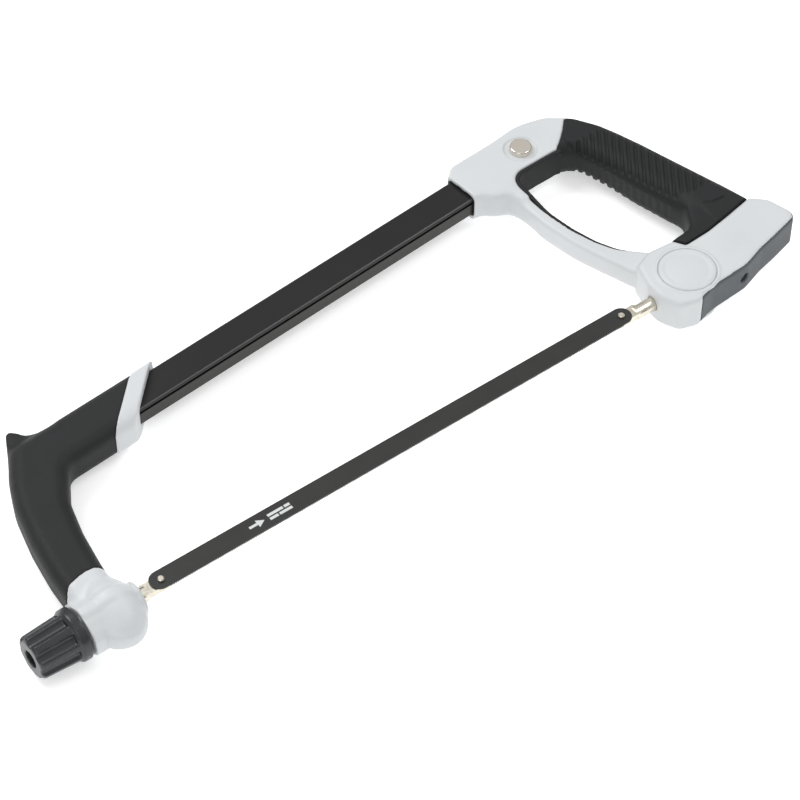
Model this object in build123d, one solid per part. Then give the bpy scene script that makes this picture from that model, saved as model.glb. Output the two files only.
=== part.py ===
from build123d import *
import math
import os

# A high-tension hacksaw, lying on its side: X runs from the toe to the handle along the blade,
# Y from the blade up to the frame tube, and Z out of the saw's flat side. Every sub-part is made
# about the tension rods' axis, with X = 0 at the front blade pin, and moved to rest on Z = 0 at
# the end. All sizes are in millimetres.

# ---- driving dimensions -------------------------------------------------------------------

# blade: a standard 12 inch blade, with 300 mm between its holes
HOLE_SPAN = 300.0
BLADE_WIDTH = 12.5
BLADE_THICK = 0.65
BLADE_TIP = 6.2            # hole centre to the rounded end
BLADE_OFFSET = 3.6         # blade's middle plane above the rods' axis
PIN_DIA = 3.7
PIN_PROUD = 2.0            # above the blade's middle plane

# frame tube
FRONT_THROAT = 104.6       # blade line up to the tube's axis, at the front pin
REAR_THROAT = 132.0        # the same, at the handle screw
SCREW_X = 36.0             # handle screw, behind the rear blade pin
TUBE_WIDTH = 19.4
TUBE_THICK = 12.5
TUBE_WALL = 1.6
TUBE_CORNER = 1.7
GROOVE_WIDTH = 1.9
GROOVE_DEPTH = 1.1
GROOVE_LIP = 0.1           # flat left between the groove and the rounded corner above it
TUBE_PAST_SCREW = 14.0

# front casting: head, arm and the sleeve that holds the tube
HEAD_X = -29.5
HEAD_RADIUS_X = 16.0
HEAD_RADIUS_Y = 22.0
NECK_Y = 4.0               # where the neck grows out of the head
BARREL_RADIUS = 9.8
COLLAR_RADIUS = 14.2       # round the rod, behind the knob
COLLAR_LENGTH = 12.0
BARREL_FRONT_X = -47.6
BARREL_REAR_X = -13.6
ARM_THICK = 13.0
SLEEVE_WALL = 2.2
SLEEVE_END_WALL = 4.0
TUBE_FRONT_GAP = 10.0      # tube's front end, ahead of the front pin
BAND_S = 57.3              # slanted band, along the tube from the front pin
BAND_ANGLE = 40.7          # degrees between the band and the tube
BAND_WIDTH = 8.8
BAND_PROUD = 0.7

# front grip, moulded over the casting
FRONT_GRIP_THICK = 22.8
FRONT_GRIP_TOP = 13.0      # tube axis to the grip's top edge
FRONT_GRIP_UNDER = 16.0    # tube axis to the grip's lower edge
FRONT_GRIP_ROUND = 7.6
HORN_THICK = 13.5
HORN_ROUND = 1.8
GRIP_FOOT_RADIUS = 22.0    # where the grip's foot meets the head
GRIP_RUN_ON = 120.0        # the outline is drawn on to here, and cut at the band

# tension parts
ROD_DIA = 8.0
ROD_END_X = -71.0
TONGUE_WIDTH = 7.6
TONGUE_BELOW = 0.4         # tongue's lower face, under the rod's axis
TONGUE_PAST_PIN = 4.4
TONGUE_ROOT = 12.2         # pin to the tongue's root
WASHER_THICK = 1.4
WASHER_DIA = 19.0
KNOB_DIA = 28.8
KNOB_LENGTH = 27.7
KNOB_FLANGE = 4.6
KNOB_BODY_DIA = 26.0
KNOB_END_DIA = 23.6
KNOB_FLUTES = 8
FLUTE_RADIUS = 3.4
NUT_ACROSS_FLATS = 13.0
NUT_LENGTH = 14.0
KNOB_END_HOLE_DIA = 9.6

# handle
MOUTH_TO_SCREW = 46.1      # handle's mouth to its screw, along the tube
MOUTH_WALL = 1.5
HOUSING_THICK = 19.5
STRUT_THICK = 13.8
BASE_THICK = 22.0
CORE_THICK = 16.0
LINER_HALF_STRUT = 6.3
LINER_HALF_HOUSING = 8.8
LINER_DEPTH = 2.4
LINER_END_X = 54.0
REAR_GRIP_THICK = 27.0
REAR_GRIP_ROUND = 10.6
BOSS_X = 46.7              # boss, behind the rear blade pin
BOSS_DIA = 36.4
BOSS_THICK = 23.4
COVER_DIA = 32.5
COVER_HEIGHT = 3.0
COVER_PROUD = 0.9
LOBE_X = 22.3              # where the rear shank enters the base, behind the rear pin
CAVITY_FRONT_X = 38.0      # cavity round the rear shank's end
CAVITY_LENGTH = 14.0
CAVITY_WIDTH = 16.4
REAR_SHANK_END = 49.5
CROSS_PIN_DIA = 3.0
CROSS_PIN_LENGTH = 13.0
SCREW_HEAD_DIA = 13.0
SCREW_HEAD_PROUD = 2.4
SCREW_SHANK_DIA = 6.0
SLEEVE_NUT_DIA = 8.0
SCREW_SOCKET_DIA = 5.0
SCREW_SOCKET_DEPTH = 2.0
DISH_DIA = 18.5
DISH_DEPTH = 0.8
BUMPER_DEPTH = 3.6
BUMPER_THICK = 18.8
BUMPER_SCREW_X = 75.6      # behind the rear blade pin
BUMPER_SCREW_DIA = 6.0
BUMPER_SCREW_LENGTH = 10.0
GASKET_LENGTH = 2.2
GASKET_WALL = 0.9

# clearances, on the radius or on each side
RUN = 0.1                  # turning and sliding fits
SLIP = 0.1                 # assembled fits
FACE = 0.05                # between faces that move on each other
PIN_PLAY = 0.15            # blade hole over its pin

# places along the tube, from the front pin
TILT = math.degrees(math.atan2(REAR_THROAT - FRONT_THROAT, HOLE_SPAN + SCREW_X))
SCREW_S = math.hypot(HOLE_SPAN + SCREW_X, REAR_THROAT - FRONT_THROAT)
MOUTH_S = SCREW_S - MOUTH_TO_SCREW
RIVETS_S = (10.0, 28.0)
RIVET_DIA = 4.0
ARM_DRAWN = 104.6          # tube height that the arm's outline is drawn for
ARM_FIXED = 22.0           # the outline is fixed below this height
HANDLE_DRAWN = 132.0       # tube height that the handle's outline is drawn for
HANDLE_FIXED = 28.0


# ---- shared geometry ----------------------------------------------------------------------

def along(s, n):
    """Point in plan at s along the tube's axis from the front pin, and n across it."""
    c, k = math.cos(math.radians(TILT)), math.sin(math.radians(TILT))
    return (s * c - n * k, FRONT_THROAT + s * k + n * c)


def arm(x, y):
    """Point on the front arm, stretched in height with the throat."""
    if y > ARM_FIXED:
        y = ARM_FIXED + (y - ARM_FIXED) * (FRONT_THROAT - ARM_FIXED) / (ARM_DRAWN - ARM_FIXED)
    return (x, y)


def rear(x, y):
    """Point on the handle, with x behind the rear blade pin, stretched with the throat."""
    if y > HANDLE_FIXED:
        stretch = (REAR_THROAT - HANDLE_FIXED) / (HANDLE_DRAWN - HANDLE_FIXED)
        y = HANDLE_FIXED + (y - HANDLE_FIXED) * stretch
    return (HOLE_SPAN + x, y)


def tube_plane(s):
    """Plane across the tube at s: its x runs across the tube in plan, its y along Z."""
    x, y = along(s, 0)
    across = (-math.sin(math.radians(TILT)), math.cos(math.radians(TILT)), 0)
    direction = (math.cos(math.radians(TILT)), math.sin(math.radians(TILT)), 0)
    return Plane(origin=(x, y, 0), x_dir=across, z_dir=direction)


def bar(section, start, end):
    """Prism of a section along the tube, from s = start to s = end."""
    return extrude(tube_plane(start) * section, end - start)


def rounded(*corners):
    """Closed face in plan from corners (x, y, radius)."""
    points = [(x, y) for x, y, _ in corners]
    radii = [radius for _, _, radius in corners]
    return make_face(FilletPolyline(*points, radius=radii, close=True))


def plate(face, thick):
    """Slab of a plan face, centred on the saw's middle plane."""
    return extrude(face, thick / 2, both=True)


def soft_plate(face, thick, radius):
    """Slab with its two outer rims rounded over."""
    slab = plate(face, thick)
    rims = slab.faces().sort_by(Axis.Z)[-1].edges() + slab.faces().sort_by(Axis.Z)[0].edges()
    return fillet(rims, radius)


def rod(x0, x1, radius):
    """Cylinder about the tension rods' axis, from x0 to x1."""
    return Plane(origin=(x0, 0, 0), z_dir=(1, 0, 0)) * extrude(Circle(radius), x1 - x0)


def post(x, y, z0, z1, radius):
    """Cylinder along Z."""
    return Pos(x, y, z0) * extrude(Circle(radius), z1 - z0)


# ---- blade and its holders ----------------------------------------------------------------

def blade():
    length = HOLE_SPAN + 2 * BLADE_TIP
    outline = RectangleRounded(length, BLADE_WIDTH, min(BLADE_TIP, BLADE_WIDTH / 2) - 0.1)
    body = Pos(HOLE_SPAN / 2, 0, BLADE_OFFSET) * extrude(outline, BLADE_THICK / 2, both=True)
    hole = PIN_DIA / 2 + PIN_PLAY
    for x in (0, HOLE_SPAN):
        body -= post(x, 0, 0, 2 * BLADE_OFFSET, hole)
    return body


def tongue(x0, x1):
    """Flat end of a holder, under the blade, between two places along X."""
    top = BLADE_OFFSET - BLADE_THICK / 2 - FACE
    block = Box(x1 - x0, TONGUE_WIDTH, top + TONGUE_BELOW)
    block = fillet(block.edges().filter_by(Axis.Z), 2.0)
    return Pos((x0 + x1) / 2, 0, (top - TONGUE_BELOW) / 2) * block


def front_holder():
    root = -TONGUE_ROOT
    body = rod(ROD_END_X, root + 3.0, ROD_DIA / 2) + tongue(root, TONGUE_PAST_PIN)
    return body - post(0, 0, -ROD_DIA, ROD_DIA, PIN_DIA / 2)


def rear_holder():
    root = HOLE_SPAN + TONGUE_ROOT
    body = rod(root - 3.0, HOLE_SPAN + REAR_SHANK_END, ROD_DIA / 2)
    body += tongue(HOLE_SPAN - TONGUE_PAST_PIN, root)
    body -= post(HOLE_SPAN, 0, -ROD_DIA, ROD_DIA, PIN_DIA / 2)
    return body - cross_pin_shape(0)


def blade_pin(x):
    pin = post(x, 0, -TONGUE_BELOW, BLADE_OFFSET + PIN_PROUD, PIN_DIA / 2)
    return chamfer(pin.edges().sort_by(Axis.Z)[-1], 0.5)


def cross_pin_shape(extra):
    """Pin across the rear shank, behind its washer."""
    x = HOLE_SPAN + CAVITY_FRONT_X + WASHER_THICK + 2 * FACE + CROSS_PIN_DIA / 2
    pin = extrude(Circle(CROSS_PIN_DIA / 2 + extra), CROSS_PIN_LENGTH / 2, both=True)
    return Pos(x, 0, 0) * Rot(90, 0, 0) * pin


def washer(x):
    ring = extrude(Circle(WASHER_DIA / 2) - Circle(ROD_DIA / 2 + RUN), WASHER_THICK)
    return Plane(origin=(x, 0, 0), z_dir=(1, 0, 0)) * ring


def rear_washer():
    size = CAVITY_WIDTH - 4 * SLIP
    ring = extrude(Circle(size / 2) - Circle(ROD_DIA / 2 + RUN), WASHER_THICK)
    x = HOLE_SPAN + CAVITY_FRONT_X + FACE
    return Plane(origin=(x, 0, 0), z_dir=(1, 0, 0)) * ring


# ---- tension knob -------------------------------------------------------------------------

KNOB_FACE_X = BARREL_FRONT_X - 2 * FACE - WASHER_THICK


def knob_nut():
    hexagon = RegularPolygon(NUT_ACROSS_FLATS / 2, 6, major_radius=False)
    nut = extrude(hexagon - Circle(ROD_DIA / 2 + RUN), NUT_LENGTH)
    return Plane(origin=(KNOB_FACE_X, 0, 0), z_dir=(-1, 0, 0)) * nut


def knob_body():
    body_r, end_r = KNOB_BODY_DIA / 2, KNOB_END_DIA / 2
    profile = FilletPolyline(
        (0, 0), (0, KNOB_DIA / 2), (KNOB_FLANGE, KNOB_DIA / 2), (KNOB_FLANGE + 1.6, body_r),
        (KNOB_LENGTH, end_r), (KNOB_LENGTH, 0), radius=(0, 0.8, 1.0, 0.8, 2.6, 0), close=True)
    shape = revolve(make_face(profile), Axis.X)
    flute_start = KNOB_FLANGE + 1.8
    reach = body_r + FLUTE_RADIUS * 0.42
    flute = Plane(origin=(flute_start, 0, 0), z_dir=(1, 0, 0)) * extrude(Circle(FLUTE_RADIUS), KNOB_LENGTH)
    for i in range(KNOB_FLUTES):
        shape -= Rot(360 * i / KNOB_FLUTES, 0, 0) * Pos(0, reach, 0) * Rot(0, 0, -2.6) * flute
    shape = Plane(origin=(KNOB_FACE_X, 0, 0), x_dir=(-1, 0, 0), z_dir=(0, 0, 1)) * shape
    shape -= rod(KNOB_FACE_X - KNOB_LENGTH, KNOB_FACE_X, ROD_DIA / 2 + 4 * RUN)
    shape -= rod(KNOB_FACE_X - KNOB_LENGTH, KNOB_FACE_X - KNOB_LENGTH + 5.0, KNOB_END_HOLE_DIA / 2)
    hexagon = RegularPolygon(NUT_ACROSS_FLATS / 2, 6, major_radius=False)
    pocket = Plane(origin=(KNOB_FACE_X, 0, 0), z_dir=(-1, 0, 0)) * extrude(hexagon, NUT_LENGTH)
    return shape - pocket


# ---- frame tube ---------------------------------------------------------------------------

TUBE_START = -TUBE_FRONT_GAP
TUBE_END = SCREW_S + TUBE_PAST_SCREW


def tube_section(extra):
    """Outer section of the tube, grown by extra on every side, without its grooves."""
    return RectangleRounded(TUBE_WIDTH + 2 * extra, TUBE_THICK + 2 * extra, TUBE_CORNER + extra)


def frame_tube():
    section = tube_section(0)
    groove_z = TUBE_THICK / 2 - TUBE_CORNER - GROOVE_LIP - GROOVE_WIDTH / 2
    for side in (-1, 1):
        section -= Pos(side * TUBE_WIDTH / 2, groove_z) * Rectangle(2 * GROOVE_DEPTH, GROOVE_WIDTH)
    inner_width = TUBE_WIDTH - 2 * (GROOVE_DEPTH + TUBE_WALL)
    section -= RectangleRounded(inner_width, TUBE_THICK - 2 * TUBE_WALL, 1.0)
    body = bar(section, TUBE_START, TUBE_END)
    for s in RIVETS_S:
        x, y = along(s, 0)
        body -= post(x, y, -TUBE_THICK, TUBE_THICK, RIVET_DIA / 2)
    x, y = screw_centre()
    return body - post(x, y, -TUBE_THICK, TUBE_THICK, SLEEVE_NUT_DIA / 2 + SLIP)


def screw_centre():
    return along(SCREW_S, 0)


# ---- front casting and its grip -----------------------------------------------------------

def band_slab(width, offset):
    """Slanted slab across the tube: offset moves it square to its faces, towards the handle."""
    x, y = along(BAND_S, 0)
    angle = TILT + BAND_ANGLE
    slab = Pos(0, -offset, 0) * Box(200, width, 60)
    return Pos(x, y, 0) * Rot(0, 0, angle) * slab


def grip_outline():
    """Plan of the front arm and bar, with its two ends run on past where they are cut."""
    return rounded(
        (*arm(-47.2, -14), 12), (*arm(-44.2, 34), 80), (*arm(-40.6, 57.3), 80), (*arm(-34.6, 82), 60),
        (*arm(-26.6, 101), 40), (*along(-16.0, FRONT_GRIP_TOP), 9), (*along(GRIP_RUN_ON, FRONT_GRIP_TOP), 12),
        (*along(GRIP_RUN_ON, -FRONT_GRIP_UNDER), 12), (*along(1.4, -FRONT_GRIP_UNDER), 10),
        (*arm(-9.2, 69), 40), (*arm(-15.2, 47), 60), (*arm(-19.4, 22), 60), (*arm(-21.0, -14), 10))


def grip_slab():
    """Rounded L-shaped outer form of the front grip."""
    return soft_plate(grip_outline(), FRONT_GRIP_THICK, FRONT_GRIP_ROUND)


def horn():
    """Small spur at the elbow, ahead of the bar."""
    face = rounded(
        (*along(-28.4, -4.8), 3), (*along(-8.7, 25.5), 2.4), (*along(-1.8, FRONT_GRIP_TOP + 4.0), 6),
        (*along(9.0, FRONT_GRIP_TOP - 1.2), 2.6), (*along(10, 0), 3), (*along(-14, -8), 3))
    return soft_plate(face, HORN_THICK, HORN_ROUND)


def front_casting():
    half = Ellipse(HEAD_RADIUS_X, HEAD_RADIUS_Y) & Pos(HEAD_RADIUS_X, 0) * Rectangle(
        2 * HEAD_RADIUS_X, 3 * HEAD_RADIUS_Y)
    head = Pos(HEAD_X, 0, 0) * revolve(half, Axis.Y)
    barrel = rod(BARREL_FRONT_X, BARREL_REAR_X, BARREL_RADIUS)
    barrel = fillet(barrel.edges().filter_by(GeomType.CIRCLE), 1.0)
    collar = rod(BARREL_FRONT_X, BARREL_FRONT_X + COLLAR_LENGTH, COLLAR_RADIUS)
    barrel += fillet(collar.edges().filter_by(GeomType.CIRCLE), 1.0)
    sleeve = bar(tube_section(SLEEVE_WALL), TUBE_START - SLEEVE_END_WALL, BAND_S)
    sleeve -= band_slab(200, 100)
    elbow = plate(rounded((*along(-16, 8.6), 4), (*along(4, 8.6), 0), (*along(4, -9), 0),
                          (*arm(-14, 76), 0), (*arm(-29, 72), 0)), ARM_THICK)
    web = plate(rounded((*arm(-39, 12), 0), (*arm(-35.8, 40), 60), (*arm(-29.6, 72), 60),
                        (*along(-14, 2), 0), (*along(-4, -9), 0), (*arm(-14, 72), 40),
                        (*arm(-20.6, 40), 60), (*arm(-23.5, 12), 0)), ARM_THICK)
    band_face = RectangleRounded(FRONT_GRIP_TOP + FRONT_GRIP_UNDER + 2 * BAND_PROUD,
                                 FRONT_GRIP_THICK + 2 * BAND_PROUD, FRONT_GRIP_ROUND + BAND_PROUD)
    shift = (FRONT_GRIP_TOP - FRONT_GRIP_UNDER) / 2
    band = bar(Pos(shift, 0) * band_face, 0, 2 * BAND_S) & band_slab(BAND_WIDTH, 0)
    neck = grip_slab() & post(HEAD_X, 0, -30, 30, GRIP_FOOT_RADIUS)
    neck &= Pos(HEAD_X, 50 + NECK_Y, 0) * Box(120, 100, 60)
    body = head + barrel + neck + web + elbow + sleeve + band
    body -= bar(tube_section(SLIP), TUBE_START - SLIP, 3 * BAND_S)
    body -= rod(BARREL_FRONT_X - 10, BARREL_REAR_X + 10, ROD_DIA / 2 + RUN)
    return body - rivet_group(0)


def rivet_group(extra):
    """Two rivets through the sleeve and the tube, as one group of solids."""
    half = TUBE_THICK / 2 + SLEEVE_WALL
    group = Part()
    for s in RIVETS_S:
        x, y = along(s, 0)
        group += post(x, y, -half, half, RIVET_DIA / 2 + extra)
    return group


def front_grip(casting):
    keep = (grip_slab() + horn()) - band_slab(200, 100 - BAND_WIDTH / 2)
    keep -= post(HEAD_X, 0, -30, 30, GRIP_FOOT_RADIUS)
    keep -= Pos(HEAD_X, -100, 0) * Box(120, 200, 60)
    keep -= casting
    keep -= bar(tube_section(SLIP), TUBE_START - SLIP, 2 * BAND_S)
    keep -= rivet_group(0)
    return keep.solids().sort_by(SortBy.VOLUME)[-1]


# ---- handle -------------------------------------------------------------------------------

def mouth(n, outward):
    """Corner of the handle's mouth, n across the tube and a wall further out."""
    return along(MOUTH_S, n + math.copysign(MOUTH_WALL + outward, n))


def grip_joint():
    """Line where the black grip meets the grey housing, from the opening to the back."""
    return [rear(49, 117.8), rear(57, 122.4), rear(65, 129.4), rear(74.2, 138.8)]


def grip_foot_line():
    """Line where the black grip meets the grey base, from the opening to the back."""
    return [rear(56.4, 23.0), rear(60.2, 16.6), rear(77, 17.4), rear(94.4, 20.3), rear(112.8, 23.9)]


def housing_face():
    half = TUBE_WIDTH / 2
    a, b, c, d = grip_joint()
    return rounded(
        (*mouth(-half, 0.4), 0.8), (*rear(-4.4, 115.6), 4), (*rear(0.6, 110.4), 5),
        (*rear(9.4, 107.6), 6), (*rear(12, 99), 0), (*rear(17.6, 99), 0),
        (*rear(17.6, 117.6), 9.4), (*a, 2), (*b, 14), (*c, 30), (*d, 0.8),
        (*rear(64, 146.4), 14), (*rear(47, 150.6), 40), (*rear(27, 147.8), 60),
        (*rear(-4.5, 145.6), 6.5), (*mouth(half, 0.4), 0.8))


def housing_slab():
    """Housing rounded on its free sides, and cut square at its mouth and where the grip starts."""
    half = TUBE_WIDTH / 2
    form = rounded(
        (*along(MOUTH_S - 30, -half - MOUTH_WALL - 0.4), 6), (*mouth(-half, 0.4), 6),
        (*rear(-4.4, 115.6), 4), (*rear(0.6, 110.4), 5), (*rear(7, 106.6), 6), (*rear(7, 80), 4.5),
        (*rear(17.6, 80), 4.5), (*rear(17.6, 117.6), 9.4), (*rear(86, 117.6), 4),
        (*rear(86, 126.4), 4), (*rear(74.2, 138.8), 20), (*rear(64, 146.4), 14), (*rear(47, 150.6), 40),
        (*rear(27, 147.8), 60), (*rear(-4.5, 145.6), 7), (*mouth(half, 0.4), 6),
        (*along(MOUTH_S - 30, half + MOUTH_WALL + 0.4), 6))
    return soft_plate(form, HOUSING_THICK, 3.6) & plate(housing_face(), HOUSING_THICK)


def strut_face():
    return rounded(
        (*rear(8.4, 122), 3), (*rear(8.8, 98), 60), (*rear(10.4, 77), 60), (*rear(13.6, 56.9), 60),
        (*rear(19.4, 38), 40), (*rear(27, 16), 20), (*rear(29, 2), 4), (*rear(50, 2), 6),
        (*rear(50, 23), 3), (*rear(42, 27.6), 12), (*rear(30.2, 39.6), 20), (*rear(25.0, 51), 20),
        (*rear(21.0, 66), 40), (*rear(18.8, 82), 40), (*rear(19.0, 122), 3))


def base_face():
    foot = grip_foot_line()
    return rounded(
        (*rear(27.2, 20), 5), (*rear(40, 25.0), 12), (*foot[0], 1.0), (*foot[1], 1.2),
        (*foot[2], 30), (*foot[3], 30), (*foot[4], 2.5), (*rear(121, 16), 8), (*rear(125.2, 0), 5),
        (*rear(121.6, -4.2), 3), (*rear(105, -8.4), 20), (*rear(92, -11.2), 20),
        (*rear(77, -16.0), 20), (*rear(50, -17.6), 20), (*rear(38, -21.2), 8),
        (*rear(27, -17.6), 7), (*rear(21.9, -6), 9), (*rear(22.6, 5), 8))


def core_face():
    return rounded(
        (*rear(50, 137), 3), (*rear(49.5, 123), 3), (*rear(66, 121), 8), (*rear(71.5, 104), 20),
        (*rear(78, 72), 40), (*rear(87, 36), 30), (*rear(87.5, 14), 0), (*rear(104, 14), 0),
        (*rear(103, 36), 20), (*rear(93.4, 72), 40), (*rear(86, 108), 20), (*rear(77, 124), 12),
        (*rear(66, 137), 3))


def bumper_zone():
    face = rounded(
        (*rear(40.6, -30), 0), (*rear(40.6, -21.0 + BUMPER_DEPTH), 1), (*rear(50, -17.4 + BUMPER_DEPTH), 20),
        (*rear(77, -15.8 + BUMPER_DEPTH), 20), (*rear(92, -11.0 + BUMPER_DEPTH), 20),
        (*rear(105, -8.2 + BUMPER_DEPTH), 20), (*rear(116, -5.0 + BUMPER_DEPTH), 6),
        (*rear(119.6, 2.4), 1), (*rear(130, 2.4), 0), (*rear(130, -30), 0))
    return plate(face, BUMPER_THICK)


def base_slab():
    return soft_plate(base_face(), BASE_THICK, 3.4)


def bumper_screw(extra):
    x, y = rear(BUMPER_SCREW_X, -14.6)
    length = BUMPER_SCREW_LENGTH + extra
    screw = Pos(0, 0, -extra) * extrude(Circle(BUMPER_SCREW_DIA / 2), 2.0 + extra)
    screw += extrude(Circle(1.6), length)
    angle = 10.0
    return Pos(x, y, 0) * Rot(0, 0, angle) * Rot(-90, 0, 0) * screw


def base_bumper():
    return (base_slab() & bumper_zone()) - bumper_screw(5.0)


def boss_recess():
    """Seats of the two boss covers, and the cavity that they close."""
    x = HOLE_SPAN + BOSS_X
    seat = BOSS_THICK / 2 + COVER_PROUD - COVER_HEIGHT
    recess = post(x, 0, seat, 30, COVER_DIA / 2 + SLIP) + post(x, 0, -30, -seat, COVER_DIA / 2 + SLIP)
    cavity = Box(CAVITY_LENGTH, CAVITY_WIDTH, 2 * seat + 1)
    return recess + Pos(HOLE_SPAN + CAVITY_FRONT_X + CAVITY_LENGTH / 2, 0, 0) * cavity


def handle_casting():
    x, y = screw_centre()
    boss = post(HOLE_SPAN + BOSS_X, 0, -BOSS_THICK / 2, BOSS_THICK / 2, BOSS_DIA / 2)
    boss = fillet(boss.edges().filter_by(GeomType.CIRCLE), 0.8)
    body = housing_slab()
    body += soft_plate(strut_face(), STRUT_THICK, 2.6)
    body += base_slab() + boss + plate(core_face(), CORE_THICK)
    body -= bar(tube_section(SLIP), MOUTH_S - 20, TUBE_END + SLIP)
    body -= bar(tube_section(GASKET_WALL + SLIP), MOUTH_S - 20, MOUTH_S + GASKET_LENGTH)
    body -= bumper_zone() + bumper_screw(0)
    body -= liner_seat()
    body -= boss_recess()
    body -= rod(HOLE_SPAN + LOBE_X - 10, HOLE_SPAN + CAVITY_FRONT_X + 1, ROD_DIA / 2 + RUN)
    body -= post(x, y, -30, 30, SLEEVE_NUT_DIA / 2 + SLIP)
    seat = HOUSING_THICK / 2 - DISH_DEPTH
    body -= post(x, y, seat, 30, DISH_DIA / 2) + post(x, y, -30, -seat, DISH_DIA / 2)
    return body


def opening_face(depth):
    """Finger opening's upper part: depth is how far the liner's seat lies outside it."""
    return rounded(
        (*rear(19.0 - depth, 116.4 + depth), 8 + depth), (*rear(53.5, 117.6 + depth), 7),
        (*rear(63.4, 108.5), 10), (*rear(65.8, 94.2), 40), (*rear(68.6, 60), 4), (*rear(60, 34), 4),
        (*rear(34.8 - depth / 3, 34), 1), (*rear(30.2 - depth / 2, 39.6), 20),
        (*rear(25.0 - 0.8 * depth, 51), 20), (*rear(21.0 - depth, 66), 40), (*rear(18.8 - depth, 82), 40))


def liner_seat():
    """Strip cut from the edge of the housing and the strut round the opening, right through them."""
    strip = plate(opening_face(LINER_DEPTH), 60) - plate(opening_face(0), 80)
    return strip - Pos(*rear(LINER_END_X + 50, 60)) * Box(100, 400, 80)


def opening_liner(grip):
    """Thin rubber edge in that seat, a little thinner than what it edges."""
    strip = liner_seat() & side_profile(
        [(-20, LINER_HALF_STRUT), (88, LINER_HALF_STRUT), (104, LINER_HALF_HOUSING), (160, LINER_HALF_HOUSING)])
    return (strip - plate(base_face(), 60) - grip).solids().sort_by(SortBy.VOLUME)[-1]


def side_profile(profile):
    """Slab along X whose half thickness follows (height, half) points."""
    points = [(rear(0, y)[1], half) for y, half in profile]
    points += [(y, -half) for y, half in reversed(points)]
    face = Plane(origin=(HOLE_SPAN, 0, 0), x_dir=(0, 1, 0), z_dir=(1, 0, 0)) * make_face(
        Polyline(*points, close=True))
    return extrude(face, 200)


def handle_grip(casting):
    form = rounded(
        (*rear(82, -14), 11.5), (*rear(80.6, 30), 30), (*rear(76.4, 48), 60), (*rear(70.6, 72), 60),
        (*rear(66.7, 94.2), 50), (*rear(62, 113), 10), (*rear(40, 123), 11), (*rear(40, 147.5), 11),
        (*rear(62.6, 146.2), 11), (*rear(77.4, 136.2), 20), (*rear(86.4, 121), 30), (*rear(90.8, 109), 40),
        (*rear(95.4, 94), 60), (*rear(102.8, 66.1), 80), (*rear(110.4, 38), 60), (*rear(117, 10), 40),
        (*rear(120, -14), 11.5))
    body = soft_plate(form, REAR_GRIP_THICK, REAR_GRIP_ROUND) & side_taper()
    foot = rounded((*rear(54, 23.6), 2.4), (*rear(71, 25.4), 6), (*rear(80, 40), 3), (*rear(100, 40), 3),
                   (*rear(100, 10), 3), (*rear(54, 10), 3))
    body += soft_plate(foot, BASE_THICK + 0.6, 2.0)
    body -= plate(opening_face(0), 60)
    body -= plate(housing_face(), 60)
    body -= plate(base_face(), 60)
    return body - casting


def side_taper():
    """Limits the grip's thickness towards its two ends."""
    return side_profile([(8, 11.4), (24, 11.8), (42, 13.5), (104, 13.5), (128, 11.2), (155, 9.9)])


def socket_gasket():
    ring = tube_section(GASKET_WALL) - tube_section(SLIP / 2)
    return bar(ring, MOUTH_S + SLIP, MOUTH_S + GASKET_LENGTH - SLIP)


def handle_screw():
    x, y = screw_centre()
    seat = HOUSING_THICK / 2 - DISH_DEPTH
    head = post(x, y, seat, seat + DISH_DEPTH + SCREW_HEAD_PROUD, SCREW_HEAD_DIA / 2)
    head = fillet(head.edges().sort_by(Axis.Z)[-1], 1.0)
    return head + post(x, y, -seat + 4, seat, SCREW_SHANK_DIA / 2)


def handle_sleeve_nut():
    x, y = screw_centre()
    seat = HOUSING_THICK / 2 - DISH_DEPTH
    head = post(x, y, -seat - DISH_DEPTH - SCREW_HEAD_PROUD, -seat, SCREW_HEAD_DIA / 2)
    head = fillet(head.edges().sort_by(Axis.Z)[0], 1.0)
    socket = extrude(RegularPolygon(SCREW_SOCKET_DIA / 2, 6, major_radius=False), SCREW_SOCKET_DEPTH)
    head -= Pos(x, y, -seat - DISH_DEPTH - SCREW_HEAD_PROUD) * socket
    head += post(x, y, -seat, seat - 1, SLEEVE_NUT_DIA / 2)
    return head - post(x, y, -seat + 2, 30, SCREW_SHANK_DIA / 2 + SLIP / 2)


def boss_cover(side):
    x = HOLE_SPAN + BOSS_X
    seat = BOSS_THICK / 2 + COVER_PROUD - COVER_HEIGHT
    disc = post(x, 0, seat + FACE, seat + COVER_HEIGHT, COVER_DIA / 2)
    disc = fillet(disc.edges().sort_by(Axis.Z)[-1], 1.0)
    return disc if side > 0 else mirror(disc, Plane.XY)


# ---- assembly -----------------------------------------------------------------------------

def build():
    casting = front_casting()
    handle = handle_casting()
    grip = handle_grip(handle)
    return {
        "frame_tube": frame_tube(),
        "front_casting": casting,
        "front_grip": front_grip(casting),
        "tube_rivets": rivet_group(0),
        "front_holder": front_holder(),
        "front_blade_pin": blade_pin(0),
        "thrust_washer": washer(KNOB_FACE_X + FACE),
        "knob_body": knob_body(),
        "knob_nut": knob_nut(),
        "blade": blade(),
        "rear_holder": rear_holder(),
        "rear_blade_pin": blade_pin(HOLE_SPAN),
        "rear_cross_pin": cross_pin_shape(0),
        "rear_washer": rear_washer(),
        "handle_casting": handle,
        "handle_grip": grip,
        "opening_liner": opening_liner(grip),
        "socket_gasket": socket_gasket(),
        "handle_screw": handle_screw(),
        "handle_sleeve_nut": handle_sleeve_nut(),
        "boss_cover_left": boss_cover(1),
        "boss_cover_right": boss_cover(-1),
        "base_bumper": base_bumper(),
        "bumper_screw": bumper_screw(0),
    }


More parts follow.
